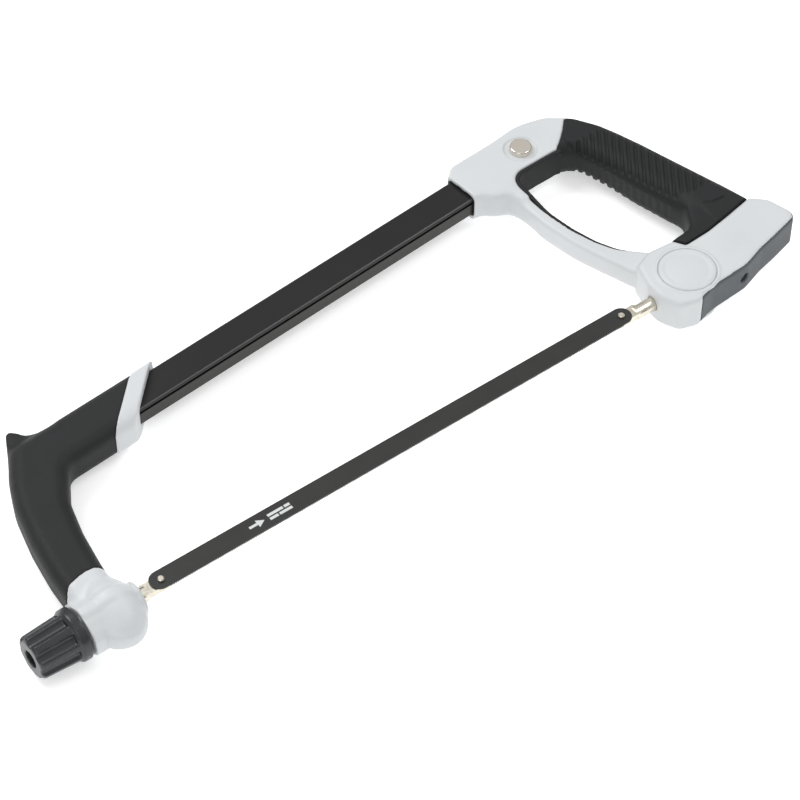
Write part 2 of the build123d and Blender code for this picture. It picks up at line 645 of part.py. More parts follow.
def main():
    os.makedirs("parts", exist_ok=True)
    nodes = build()
    box = Compound(children=[Compound(s.wrapped) for s in nodes.values()]).bounding_box()
    offset = Pos(-box.center().X, -box.center().Y, -box.min.Z)
    for name, shape in nodes.items():
        export_step(offset * shape, f"parts/{name}.step")
    print("offset", -box.center().X, -box.center().Y, -box.min.Z)
    print("size", box.size)


main()
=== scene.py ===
import math

import bmesh
import bpy
import numpy as np
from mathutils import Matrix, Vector


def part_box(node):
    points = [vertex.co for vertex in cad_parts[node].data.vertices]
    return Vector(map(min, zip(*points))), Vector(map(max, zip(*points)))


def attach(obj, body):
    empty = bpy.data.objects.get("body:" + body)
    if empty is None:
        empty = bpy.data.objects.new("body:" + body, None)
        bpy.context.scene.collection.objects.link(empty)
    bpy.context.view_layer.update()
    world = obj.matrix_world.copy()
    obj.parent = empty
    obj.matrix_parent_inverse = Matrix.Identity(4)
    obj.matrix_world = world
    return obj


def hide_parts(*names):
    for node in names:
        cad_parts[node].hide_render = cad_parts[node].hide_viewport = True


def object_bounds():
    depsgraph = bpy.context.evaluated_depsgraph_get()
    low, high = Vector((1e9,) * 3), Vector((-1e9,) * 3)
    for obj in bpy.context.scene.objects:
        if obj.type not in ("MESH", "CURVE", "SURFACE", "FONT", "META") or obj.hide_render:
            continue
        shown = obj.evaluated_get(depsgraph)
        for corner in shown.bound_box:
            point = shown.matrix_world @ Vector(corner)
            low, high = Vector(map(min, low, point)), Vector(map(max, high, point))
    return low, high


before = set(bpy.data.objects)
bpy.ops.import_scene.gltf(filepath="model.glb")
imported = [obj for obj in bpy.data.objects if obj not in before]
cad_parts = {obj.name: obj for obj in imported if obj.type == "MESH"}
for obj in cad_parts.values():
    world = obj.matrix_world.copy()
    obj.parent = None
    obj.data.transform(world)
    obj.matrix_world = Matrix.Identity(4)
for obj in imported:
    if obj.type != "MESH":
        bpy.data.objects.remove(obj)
cad_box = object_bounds()

# ---- blade --------------------------------------------------------------------------------
# A 12 inch hacksaw blade: hardened steel strip, 24 teeth to the inch with a wavy set, painted
# dark grey. It is stamped, milled and painted, and its two holes drop over the holders' pins.

MM = 0.001
front_low, front_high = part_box("front_blade_pin")
rear_low, rear_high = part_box("rear_blade_pin")
blade_low, blade_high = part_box("blade")
rod_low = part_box("front_holder")[0]
ROD_RADIUS = 4.0
AXIS_Z = rod_low.z / MM + ROD_RADIUS
PIN_X = (front_low.x + front_high.x) / 2 / MM
PIN_Y = (front_low.y + front_high.y) / 2 / MM
HOLE_SPAN = (rear_low.x - front_low.x) / MM


def place(x, y, z=0.0):
    """Point in metres from saw millimetres: X and Y from the front pin, Z from the rods' axis."""
    return Vector(((PIN_X + x) * MM, (PIN_Y + y) * MM, (AXIS_Z + z) * MM))


def saw(point):
    """Saw millimetres of a point in metres."""
    return point.x / MM - PIN_X, point.y / MM - PIN_Y, point.z / MM - AXIS_Z


def colour(hex_code):
    """Linear colour of an sRGB hex value such as #D6DBDD."""
    parts = [int(hex_code[i:i + 2], 16) / 255 for i in (1, 3, 5)]
    return [p / 12.92 if p <= 0.04045 else ((p + 0.055) / 1.055) ** 2.4 for p in parts] + [1.0]


def add(tree, kind, links=(), **settings):
    """New node of a kind. Settings name its properties or, as in0 or _Name, its inputs; links are
    (input, node, output)."""
    node = tree.nodes.new("ShaderNode" + kind)
    for key, value in settings.items():
        if key.startswith("in") and key[2:].isdigit():
            node.inputs[int(key[2:])].default_value = value
        elif key.startswith("_"):
            node.inputs[key[1:].replace("_", " ")].default_value = value
        else:
            setattr(node, key, value)
    for target, source, output in links:
        tree.links.new(source.outputs[output], node.inputs[target])
    return node


def new_finish(name):
    """Material with its node tree emptied, and the place in millimetres that patterns use, so that
    a pattern's scale is one over the size of its marks."""
    material = bpy.data.materials.new(name)
    material.use_nodes = True
    tree = material.node_tree
    tree.nodes.clear()
    spot = add(tree, "TexCoord")
    place_mm = add(tree, "VectorMath", [(0, spot, "Object")], operation="SCALE", _Scale=1 / MM)
    return material, tree, place_mm


def close_finish(tree, base, rough, height, depth_mm, **settings):
    """Principled shader from a colour, a roughness and a height node, and the output."""
    bump = add(tree, "Bump", [("Height", *height)], _Strength=1.0, _Distance=depth_mm * MM)
    shader = add(tree, "BsdfPrincipled", [("Base Color", *base), ("Roughness", *rough),
                                          ("Normal", bump, "Normal")], **settings)
    add(tree, "OutputMaterial", [("Surface", shader, "BSDF")])


# Painted blade steel: a thin dark enamel over a rolled strip, with fine marks along its length,
# and the teeth a little brighter where the paint is thin.
blade_steel, tree, spot = new_finish("painted_blade_steel")
stretched = add(tree, "Mapping", [("Vector", spot, "Vector")], _Scale=(1 / 33, 1 / 0.62, 1.0))
rolling = add(tree, "TexNoise", [("Vector", stretched, "Vector")], _Scale=1 / 1, _Detail=4.0)
mottle = add(tree, "TexNoise", [("Vector", spot, "Vector")], _Scale=1 / 11, _Detail=3.0)
split = add(tree, "SeparateXYZ", [(0, spot, "Vector")])
TOOTH_LINE = PIN_Y - 6.25      # the teeth's tips, in row millimetres
THIN_PAINT = (0.2, 1.3)        # paint is thin between these distances from the tips
edge = add(tree, "MapRange", [(0, split, "Y")], in1=TOOTH_LINE + THIN_PAINT[0],
           in2=TOOTH_LINE + THIN_PAINT[1], in3=0.55, in4=0.0)
tone = add(tree, "Mix", [(0, mottle, "Fac")], data_type="RGBA", in6=colour("#2A2A29"), in7=colour("#333332"))
tone = add(tree, "Mix", [(0, edge, "Result"), (6, tone, 2)], data_type="RGBA", in7=colour("#585856"))
rough = add(tree, "MapRange", [(0, rolling, "Fac")], in1=0.3, in2=0.7, in3=0.34, in4=0.48)
close_finish(tree, (tone, 2), (rough, "Result"), (rolling, "Fac"), 0.012,
             _Specular_IOR_Level=0.35)


def piece(name, mesh, body, finish, stands_for=(), smooth=True):
    """Object from a mesh in row metres, riding on a body, with its finish and the nodes it replaces."""
    obj = bpy.data.objects.new(name, mesh)
    bpy.context.scene.collection.objects.link(obj)
    if isinstance(finish, bpy.types.Material):
        finish = [finish]
    for material in finish:
        mesh.materials.append(material)
    for polygon in mesh.polygons:
        polygon.use_smooth = smooth
    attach(obj, body)
    if stands_for:
        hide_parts(*stands_for)
    return obj


BLADE_WIDTH = (blade_high.y - blade_low.y) / MM
BLADE_TIP = (blade_high.x - blade_low.x) / MM / 2 - HOLE_SPAN / 2
BLADE_MIDDLE = (blade_low.z + blade_high.z) / 2 / MM - AXIS_Z
BLADE_THICK = (blade_high.z - blade_low.z) / MM
TOOTH_PITCH = 25.4 / 24
TOOTH_DEPTH = 0.8
SET_WAVE = 8 * TOOTH_PITCH     # the teeth lean up and down in waves this long
HOLE_RADIUS = 2.0
HOLE_STEPS = 24
TEETH_FROM, TEETH_TO = 2.0, HOLE_SPAN - 2.0


def arc(cx, cy, radius, start, end, steps):
    """Points on an arc between two angles in degrees."""
    turn = [math.radians(start + (end - start) * i / steps) for i in range(steps + 1)]
    return [(cx + radius * math.cos(a), cy + radius * math.sin(a)) for a in turn]


def flat_piece(bm, rings, z0, z1):
    """Fills closed rings, the first outside and the rest holes, and gives them thickness."""
    edges = []
    for ring in rings:
        verts = [bm.verts.new(place(x, y, z0)) for x, y in ring]
        edges += [bm.edges.new((verts[i], verts[(i + 1) % len(verts)])) for i in range(len(verts))]
    made = bmesh.ops.triangle_fill(bm, edges=edges, use_beauty=True, use_dissolve=False)
    faces = [g for g in made["geom"] if isinstance(g, bmesh.types.BMFace)]
    grown = bmesh.ops.extrude_face_region(bm, geom=faces)
    top = [g for g in grown["geom"] if isinstance(g, bmesh.types.BMVert)]
    bmesh.ops.translate(bm, verts=top, vec=(0, 0, (z1 - z0) * MM))
    bmesh.ops.recalc_face_normals(bm, faces=bm.faces)


half_width = BLADE_WIDTH / 2
root_y = -half_width + TOOTH_DEPTH
outline = []
count = int((TEETH_TO - TEETH_FROM) / TOOTH_PITCH)
for i in range(count):
    x = TEETH_FROM + i * TOOTH_PITCH
    outline += [(x, root_y), (x + 0.12 * TOOTH_PITCH, -half_width),
                (x + 0.34 * TOOTH_PITCH, -half_width + 0.2), (x + 0.86 * TOOTH_PITCH, root_y - 0.02)]
outline.append((TEETH_FROM + count * TOOTH_PITCH, root_y))
corner = BLADE_TIP - 0.3
outline += arc(HOLE_SPAN + BLADE_TIP - corner, root_y + corner, corner, -90, 0, 10)
outline += arc(HOLE_SPAN + BLADE_TIP - corner, half_width - corner, corner, 0, 90, 10)
outline += arc(corner - BLADE_TIP, half_width - corner, corner, 90, 180, 10)
outline += arc(corner - BLADE_TIP, root_y + corner, corner, 180, 270, 10)
holes = [arc(x, 0, HOLE_RADIUS, 360, 0, HOLE_STEPS)[:-1] for x in (0, HOLE_SPAN)]
bm = bmesh.new()
flat_piece(bm, [outline, *holes], BLADE_MIDDLE - BLADE_THICK / 2, BLADE_MIDDLE + BLADE_THICK / 2)
for vert in bm.verts:
    x, y, z = saw(vert.co)
    if y < root_y - 0.1:
        lean = 0.18 * math.sin(2 * math.pi * x / SET_WAVE) * (root_y - y) / TOOTH_DEPTH
        vert.co.z += lean * MM
mesh = bpy.data.meshes.new("blade_strip")
bm.to_mesh(mesh)
bm.free()
piece("blade_strip", mesh, "blade", blade_steel, ["blade"], smooth=False)

# ---- blade marks --------------------------------------------------------------------------
# Screen-printed marks near the blade's front end: an arrow that shows the cutting direction, and
# plain bars where a maker prints its text. Thin off-white ink that sits on the paint.

print_ink, tree, spot = new_finish("screen_print_ink")
speck = add(tree, "TexNoise", [("Vector", spot, "Vector")], _Scale=1 / 0.33, _Detail=3.0)
tone = add(tree, "Mix", [(0, speck, "Fac")], data_type="RGBA", in6=colour("#C4C6C6"), in7=colour("#E4E6E6"))
rough = add(tree, "MapRange", [(0, speck, "Fac")], in1=0.3, in2=0.7, in3=0.45, in4=0.6)
close_finish(tree, (tone, 2), (rough, "Result"), (speck, "Fac"), 0.01)

MARK_X = 54.0
MARK_GAP = 0.03
INK_THICK = 0.03
bars = [(12.0, -1.9, 5.2), (12.0, 0.7, 9.6), (22.4, 0.7, 3.4), (18.0, -1.9, 7.8)]
ink_low = BLADE_MIDDLE + BLADE_THICK / 2 + MARK_GAP
bm = bmesh.new()
arrow = [(0, -0.5), (5.0, -0.5), (5.0, -2.2), (9.4, 0.3), (5.0, 2.8), (5.0, 1.1), (0, 1.1)]
shapes = [arrow] + [[(x, y), (x + w, y), (x + w, y + 1.7), (x, y + 1.7)] for x, y, w in bars]
for shape in shapes:
    flat_piece(bm, [[(MARK_X + x, y) for x, y in shape]], ink_low, ink_low + INK_THICK)
mesh = bpy.data.meshes.new("blade_marks")
bm.to_mesh(mesh)
bm.free()
piece("blade_marks", mesh, "blade", print_ink, smooth=False)

# ---- blade holders and their pins ---------------------------------------------------------
# Steel rods with a flattened tongue and a riveted pin, nickel plated: warm, bright, and slightly
# clouded by the plating, with fine drawing marks along the rods.

nickel_plate, tree, spot = new_finish("nickel_plated_steel")
stretched = add(tree, "Mapping", [("Vector", spot, "Vector")], _Scale=(1 / 6.7, 1 / 0.4, 1 / 0.4))
drawn = add(tree, "TexNoise", [("Vector", stretched, "Vector")], _Scale=1 / 1, _Detail=4.0)
cloud = add(tree, "TexNoise", [("Vector", spot, "Vector")], _Scale=1 / 2.9, _Detail=4.0)
tone = add(tree, "Mix", [(0, cloud, "Fac")], data_type="RGBA", in6=colour("#CFC8B4"), in7=colour("#EFEAE0"))
rough = add(tree, "MapRange", [(0, cloud, "Fac")], in1=0.3, in2=0.7, in3=0.2, in4=0.34)
close_finish(tree, (tone, 2), (rough, "Result"), (drawn, "Fac"), 0.02, _Metallic=1.0)


def refinish(material, *nodes):
    """Gives carried-over nodes their finish."""
    for name in nodes:
        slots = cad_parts[name].data.materials
        slots.clear()
        slots.append(material)


refinish(nickel_plate, "front_holder", "front_blade_pin", "rear_holder", "rear_blade_pin")

# ---- washers, nut, rivets, cross pin ------------------------------------------------------
# Small turned and pressed steel parts, zinc plated: grey, slightly blue, with a dull lustre.

zinc_plate, tree, spot = new_finish("zinc_plated_steel")
cloud = add(tree, "TexNoise", [("Vector", spot, "Vector")], _Scale=1 / 1.25, _Detail=5.0)
tone = add(tree, "Mix", [(0, cloud, "Fac")], data_type="RGBA", in6=colour("#A9ADB0"), in7=colour("#C9CDD0"))
rough = add(tree, "MapRange", [(0, cloud, "Fac")], in1=0.3, in2=0.7, in3=0.3, in4=0.46)
close_finish(tree, (tone, 2), (rough, "Result"), (cloud, "Fac"), 0.02, _Metallic=1.0)
refinish(zinc_plate, "thrust_washer", "knob_nut", "tube_rivets", "rear_cross_pin", "rear_washer")

# ---- frame tube ---------------------------------------------------------------------------
# Extruded aluminium tube with a groove along each narrow side, powder coated satin black: a very
# fine orange peel, with painted bounce light tinting its steep side walls olive and painted highlights as
# soft bright lines along its rounded corners.

powder_coat, tree, spot = new_finish("black_powder_coat")
peel = add(tree, "TexNoise", [("Vector", spot, "Vector")], _Scale=1 / 0.91, _Detail=3.0)
cloud = add(tree, "TexNoise", [("Vector", spot, "Vector")], _Scale=1 / 33, _Detail=3.0)
tone = add(tree, "Mix", [(0, cloud, "Fac")], data_type="RGBA", in6=colour("#161617"), in7=colour("#1D1D1E"))
facing = add(tree, "NewGeometry")
upright = add(tree, "SeparateXYZ", [(0, facing, "Normal")])
steep = add(tree, "Math", [(0, upright, "Z")], operation="ABSOLUTE")
# Painted bounce light: the steep side walls are tinted a warm olive, as if lit by the white table below.
side = add(tree, "MapRange", [(0, steep, "Value")], in1=0.2, in2=0.8, in3=1.0, in4=0.0)
tone = add(tree, "Mix", [(0, side, "Result"), (6, tone, 2)], data_type="RGBA", in7=colour("#201F1B"))
# Painted highlight: the rounded corners between the flat faces and the walls are made lighter, as soft
# bright lines that stand in for lamp reflections.
corner_highlight_rise = add(tree, "MapRange", [(0, steep, "Value")], in1=0.45, in2=0.62, in3=0.0, in4=1.0)
flat = add(tree, "MapRange", [(0, steep, "Value")], in1=0.8, in2=0.95, in3=1.0, in4=0.0)
painted_corner_highlight = add(tree, "Math", [(0, corner_highlight_rise, "Result"), (1, flat, "Result")], operation="MULTIPLY")
tone = add(tree, "Mix", [(0, painted_corner_highlight, "Value"), (6, tone, 2)], data_type="RGBA", in7=colour("#4A4B4D"))
rough = add(tree, "MapRange", [(0, peel, "Fac")], in1=0.3, in2=0.7, in3=0.28, in4=0.38)
close_finish(tree, (tone, 2), (rough, "Result"), (peel, "Fac"), 0.02, _Specular_IOR_Level=0.35)
refinish(powder_coat, "frame_tube")

# ---- front casting ------------------------------------------------------------------------
# One die casting: the round head, its barrel for the rod, the arm inside the grip, the sleeve on
# the tube and the slanted band. Sprayed light grey, so it has a soft gloss and a slight peel.

grey_paint, tree, spot = new_finish("light_grey_satin_paint")
peel = add(tree, "TexNoise", [("Vector", spot, "Vector")], _Scale=1 / 1.4, _Detail=3.0)
cloud = add(tree, "TexNoise", [("Vector", spot, "Vector")], _Scale=1 / 29, _Detail=3.0)
fleck = add(tree, "TexNoise", [("Vector", spot, "Vector")], _Scale=1 / 0.25, _Detail=1.0)
tone = add(tree, "Mix", [(0, cloud, "Fac")], data_type="RGBA", in6=colour("#CACDCF"), in7=colour("#D4D7D9"))
dust = add(tree, "MapRange", [(0, fleck, "Fac")], in1=0.55, in2=0.8, in3=0.0, in4=0.35)
light = add(tree, "Mix", [(0, dust, "Result"), (6, tone, 2)], data_type="RGBA", in7=colour("#E2E5E6"))
rough = add(tree, "MapRange", [(0, peel, "Fac")], in1=0.3, in2=0.7, in3=0.36, in4=0.48)
close_finish(tree, (light, 2), (rough, "Result"), (peel, "Fac"), 0.025, _Specular_IOR_Level=0.45)


def moulded(name, nodes, voxel_mm, soften, relief=None):
    """One mesh from CAD nodes, with its corners softened as a casting's or a moulding's are.
    Relief gives each vertex's move along its normal, in millimetres, from its place and normal."""
    bm = bmesh.new()
    for node in nodes:
        bm.from_mesh(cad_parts[node].data)
    bmesh.ops.remove_doubles(bm, verts=bm.verts, dist=0.002 * MM)
    source = bpy.data.meshes.new(name)
    bm.to_mesh(source)
    bm.free()
    obj = bpy.data.objects.new(name, source)
    bpy.context.scene.collection.objects.link(obj)
    remesh = obj.modifiers.new("even", "REMESH")
    remesh.mode = "VOXEL"
    remesh.voxel_size = voxel_mm * MM
    remesh.use_smooth_shade = True
    smooth = obj.modifiers.new("soften", "SMOOTH")
    smooth.factor = 0.5
    smooth.iterations = soften
    bpy.context.view_layer.update()
    mesh = bpy.data.meshes.new_from_object(obj.evaluated_get(bpy.context.evaluated_depsgraph_get()))
    mesh.name = name
    bpy.data.objects.remove(obj)
    if relief:
        normals = [v.normal.copy() for v in mesh.vertices]
        for vert, normal in zip(mesh.vertices, normals):
            move = relief(*saw(vert.co), normal)
            if move:
                vert.co += normal * (move * MM)
        mesh.update()
    return mesh


def ramp(value, low, high):
    """Smooth step from 0 at low to 1 at high."""
    t = max(0.0, min(1.0, (value - low) / (high - low)))
    return t * t * (3 - 2 * t)


def blend_over(mesh, share, passes):
    """Evens out a mesh, as a mould maker blends two shapes, where share of a place is above 0."""
    count = len(mesh.vertices)
    spots = np.empty(count * 3)
    mesh.vertices.foreach_get("co", spots)
    spots = spots.reshape(-1, 3)
    ends = np.empty(len(mesh.edges) * 2, int)
    mesh.edges.foreach_get("vertices", ends)
    one, other = ends[::2], ends[1::2]
    around = (np.bincount(one, minlength=count) + np.bincount(other, minlength=count))[:, None]
    shares = 0.5 * np.array([share(*saw(Vector(spot))) for spot in spots])[:, None]
    for _ in range(passes):
        total = np.stack([np.bincount(one, spots[other, k], count) + np.bincount(other, spots[one, k], count)
                          for k in range(3)], axis=1)
        spots += shares * (total / around - spots)
    mesh.vertices.foreach_set("co", spots.ravel())
    mesh.update()


def near_path(x, y, path):
    """Distance to a line of points."""
    best = math.inf
    for (x0, y0), (x1, y1) in zip(path, path[1:]):
        dx, dy = x1 - x0, y1 - y0
        t = max(0.0, min(1.0, ((x - x0) * dx + (y - y0) * dy) / (dx * dx + dy * dy)))
        best = min(best, math.hypot(x - x0 - t * dx, y - y0 - t * dy))
    return best


HEAD_END_X, ARM_FROM_Y = -13.0, 24.0    # the head lies ahead of one and below the other
RIDGE_Y = 0.5
RIDGE_HEIGHT = 1.1
COLLAR_SWELL = 1.0
NECK_CREASE = [(-46.0, 13.0), (-36.0, 12.5), (-20.0, 15.0), (-13.5, 12.0)]


def head_relief(x, y, z, normal):
    """Leaves a soft ridge over the rod's barrel by easing the ball back beside it, and swells the
    collar behind the knob so that it runs into the ball."""
    if x > HEAD_END_X or y > ARM_FROM_Y:
        return 0.0
    beside = ramp(abs(y - RIDGE_Y), 2.0, 6.0) * ramp(abs(normal.z), 0.25, 0.6) * (1 - ramp(y, 10.0, 20.0))
    swell = (1 - ramp(x, -42.0, -36.0)) * (1 - ramp(abs(normal.x), 0.5, 0.8))
    swell *= 1 - ramp(abs(normal.z), 0.5, 0.8)
    return COLLAR_SWELL * swell - RIDGE_HEIGHT * beside


mesh = moulded("front_head", ["front_casting"], 0.6, 3, head_relief)
blend_over(mesh, lambda x, y, z: (1 - ramp(near_path(x, y, NECK_CREASE), 2.0, 4.5))
           * ramp(x, -45.5, -42.5), 25)
piece("front_head", mesh, "frame", grey_paint, ["front_casting"])

# ---- front grip ---------------------------------------------------------------------------
# Soft thermoplastic rubber moulded over the arm and the tube's end, with a small spur at the
# elbow. Its mould is spark eroded, so it has a fine matte grain and no gloss.

grip_rubber, tree, spot = new_finish("black_grip_rubber")
grain = add(tree, "TexNoise", [("Vector", spot, "Vector")], _Scale=1 / 0.45, _Detail=4.0)
pits = add(tree, "TexVoronoi", [("Vector", spot, "Vector")], _Scale=1 / 0.62)
cloud = add(tree, "TexNoise", [("Vector", spot, "Vector")], _Scale=1 / 20, _Detail=3.0)
tone = add(tree, "Mix", [(0, cloud, "Fac")], data_type="RGBA", in6=colour("#1C1D1E"), in7=colour("#242526"))
grained = add(tree, "Math", [(0, grain, "Fac"), (1, pits, "Distance")], operation="ADD")
rough = add(tree, "MapRange", [(0, grain, "Fac")], in1=0.3, in2=0.7, in3=0.52, in4=0.68)
close_finish(tree, (tone, 2), (rough, "Result"), (grained, "Value"), 0.05, _Specular_IOR_Level=0.3)

HORN_ROOT = [(-24.5, 99.0), (-18.5, 112.0), (-9.0, 117.5), (8.0, 117.5)]
mesh = moulded("front_grip_rubber", ["front_grip"], 0.7, 4)
blend_over(mesh, lambda x, y, z: 1 - ramp(near_path(x, y, HORN_ROOT), 3.0, 7.0), 60)
piece("front_grip_rubber", mesh, "frame", grip_rubber, ["front_grip"])

# ---- tension knob -------------------------------------------------------------------------
# Glass-filled nylon moulding with eight flutes and a skirt, pressed on its steel nut: dark grey,
# faintly blue, with a soft sheen from a finely textured mould.

nylon, tree, spot = new_finish("dark_grey_nylon")
grain = add(tree, "TexNoise", [("Vector", spot, "Vector")], _Scale=1 / 0.38, _Detail=4.0)
cloud = add(tree, "TexNoise", [("Vector", spot, "Vector")], _Scale=1 / 8.3, _Detail=3.0)
tone = add(tree, "Mix", [(0, cloud, "Fac")], data_type="RGBA", in6=colour("#25282B"), in7=colour("#2F3336"))
rough = add(tree, "MapRange", [(0, grain, "Fac")], in1=0.3, in2=0.7, in3=0.24, in4=0.34)
close_finish(tree, (tone, 2), (rough, "Result"), (grain, "Fac"), 0.02, _Specular_IOR_Level=0.5)
mesh = moulded("knob_moulding", ["knob_body"], 0.4, 2)
piece("knob_moulding", mesh, "knob", nylon, ["knob_body"])

# ---- handle casting -----------------------------------------------------------------------
# The second die casting: the socket on the tube, the strut, the base and its boss. Same light
# grey paint as the head.

screw_low, screw_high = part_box("handle_screw")
SCREW_X, SCREW_Y, _ = saw((screw_low + screw_high) / 2)
DISH_RADIUS = 9.3
DISH_STEP = 0.7


def housing_relief(x, y, z, normal):
    """A soft round step about the screw, on both sides."""
    r = math.hypot(x - SCREW_X, y - SCREW_Y)
    if r > DISH_RADIUS + 2.0 or abs(normal.z) < 0.5:
        return 0.0
    ring = ramp(r, DISH_RADIUS - 2.2, DISH_RADIUS - 0.4) * (1 - ramp(r, DISH_RADIUS, DISH_RADIUS + 1.0))
    return -DISH_STEP * ring


STRUT_ROOT = [(HOLE_SPAN + x, y) for x, y in ((2.0, 110.0), (9.0, 103.0), (13.0, 96.0))]
mesh = moulded("handle_frame", ["handle_casting"], 0.6, 3, housing_relief)
blend_over(mesh, lambda x, y, z: (1 - ramp(near_path(x, y, STRUT_ROOT), 7.0, 14.0))
           * (1 - ramp(x - HOLE_SPAN, 14.0, 17.0)), 110)
piece("handle_frame", mesh, "frame", grey_paint, ["handle_casting"])

# ---- rear grip ----------------------------------------------------------------------------
# The same rubber moulded over the handle's core, with a field of slanting ribs on both sides for
# the palm, a short curved groove at each end of the field, and a thin edge round the opening.

RIB_PITCH = 4.0
RIB_HEIGHT = 1.1
RIB_AXIS = (0.797, -0.604)          # unit vector across the ribs, in plan
GRIP_LINE = [(36, 97.2), (60, 90.4), (80, 85.6), (100, 80.0), (122, 72.5)]   # y, x behind the rear pin
FIELD_BACK, FIELD_FRONT = 7.5, -15.5   # from the grip's middle towards the palm and the fingers
FIELD_Y = (44.0, 116.0)
GROOVE_WIDTH = 0.9
GROOVE_DEPTH = 0.9
GROOVES = [[(60.5, 122.0), (58.6, 113.5), (61.5, 106.0)], [(88.0, 34.0), (93.0, 31.4), (101.0, 30.6)]]
FOOT_ROOT = [(HOLE_SPAN + x, y) for x, y in ((62.0, 24.0), (71.0, 27.0), (80.0, 39.0))]
FINGER_WAVE = 0.4
FINGER_PITCH = 5.2
FIELD_FADE = 1.5               # the ribs fade out over this width at the field's borders


def line_x(y):
    """Middle of the grip at a height, behind the rear pin."""
    for (y0, x0), (y1, x1) in zip(GRIP_LINE, GRIP_LINE[1:]):
        if y <= y1 or (y1, x1) == GRIP_LINE[-1]:
            return x0 + (x1 - x0) * (y - y0) / (y1 - y0)


def grip_relief(x, y, z, normal):
    """Ribs and end grooves on both sides of the grip, and shallow waves on its finger side."""
    upright = abs(normal.z)
    x -= HOLE_SPAN
    wave = 0.5 - 0.5 * math.cos(2 * math.pi * y / FINGER_PITCH)
    move = -FINGER_WAVE * wave * ramp(-normal.x, 0.3, 0.7) * (1 - ramp(upright, 0.0, 0.2))
    move *= ramp(y, 40.0, 46.0) * (1 - ramp(y, 98.0, 104.0))
    across = x - line_x(y)
    inside = 1 - ramp(across, FIELD_BACK - FIELD_FADE, FIELD_BACK)
    inside *= ramp(across, FIELD_FRONT, FIELD_FRONT + FIELD_FADE)
    inside *= ramp(y, FIELD_Y[0] - FIELD_FADE, FIELD_Y[0] + FIELD_FADE)
    inside *= 1 - ramp(y, FIELD_Y[1] - FIELD_FADE, FIELD_Y[1] + FIELD_FADE)
    ridge = ramp(math.cos(2 * math.pi * (RIB_AXIS[0] * x + RIB_AXIS[1] * y) / RIB_PITCH), -0.6, 0.4)
    move -= RIB_HEIGHT * (1 - ridge) * inside * ramp(upright, 0.18, 0.4)
    for path in GROOVES:
        move -= GROOVE_DEPTH * (1 - ramp(near_path(x, y, path), 0.2, GROOVE_WIDTH)) * ramp(upright, 0.4, 0.7)
    return move


mesh = moulded("rear_grip_rubber", ["handle_grip", "opening_liner"], 0.5, 3, grip_relief)
blend_over(mesh, lambda x, y, z: (1 - ramp(near_path(x, y, FOOT_ROOT), 4.0, 10.0))
           * ramp(y, 20.5, 25.0), 120)
piece("rear_grip_rubber", mesh, "frame", grip_rubber, ["handle_grip", "opening_liner"])

# ---- socket gasket ------------------------------------------------------------------------
# A thin rubber ring in the handle's mouth, round the tube: plain black, dull.

seal_rubber, tree, spot = new_finish("black_seal_rubber")
grain = add(tree, "TexNoise", [("Vector", spot, "Vector")], _Scale=1 / 0.67, _Detail=4.0)
tone = add(tree, "Mix", [(0, grain, "Fac")], data_type="RGBA", in6=colour("#161616"), in7=colour("#202020"))
rough = add(tree, "MapRange", [(0, grain, "Fac")], in1=0.3, in2=0.7, in3=0.6, in4=0.75)
close_finish(tree, (tone, 2), (rough, "Result"), (grain, "Fac"), 0.03)
refinish(seal_rubber, "socket_gasket")

# ---- handle screw -------------------------------------------------------------------------
# A chrome-plated screw with a domed head, and its sleeve nut on the other side: mirror bright,
# with very faint polishing marks.

chrome, tree, spot = new_finish("chrome_plated_steel")
cloud = add(tree, "TexNoise", [("Vector", spot, "Vector")], _Scale=1 / 0.83, _Detail=4.0)
tone = add(tree, "Mix", [(0, cloud, "Fac")], data_type="RGBA", in6=colour("#D8CFC2"), in7=colour("#EFE9E0"))
rough = add(tree, "MapRange", [(0, cloud, "Fac")], in1=0.3, in2=0.7, in3=0.1, in4=0.18)
close_finish(tree, (tone, 2), (rough, "Result"), (cloud, "Fac"), 0.01, _Metallic=1.0)
refinish(chrome, "handle_screw", "handle_sleeve_nut")

# ---- boss covers --------------------------------------------------------------------------
# Two round press-fit covers in the base, moulded in light grey plastic to match the paint, with a
# shallow ring near the rim and a slightly domed middle.

grey_plastic, tree, spot = new_finish("light_grey_moulded_plastic")
grain = add(tree, "TexNoise", [("Vector", spot, "Vector")], _Scale=1 / 0.62, _Detail=4.0)
cloud = add(tree, "TexNoise", [("Vector", spot, "Vector")], _Scale=1 / 17, _Detail=3.0)
tone = add(tree, "Mix", [(0, cloud, "Fac")], data_type="RGBA", in6=colour("#CACDD0"), in7=colour("#D4D7DA"))
rough = add(tree, "MapRange", [(0, grain, "Fac")], in1=0.3, in2=0.7, in3=0.4, in4=0.52)
close_finish(tree, (tone, 2), (rough, "Result"), (grain, "Fac"), 0.03)

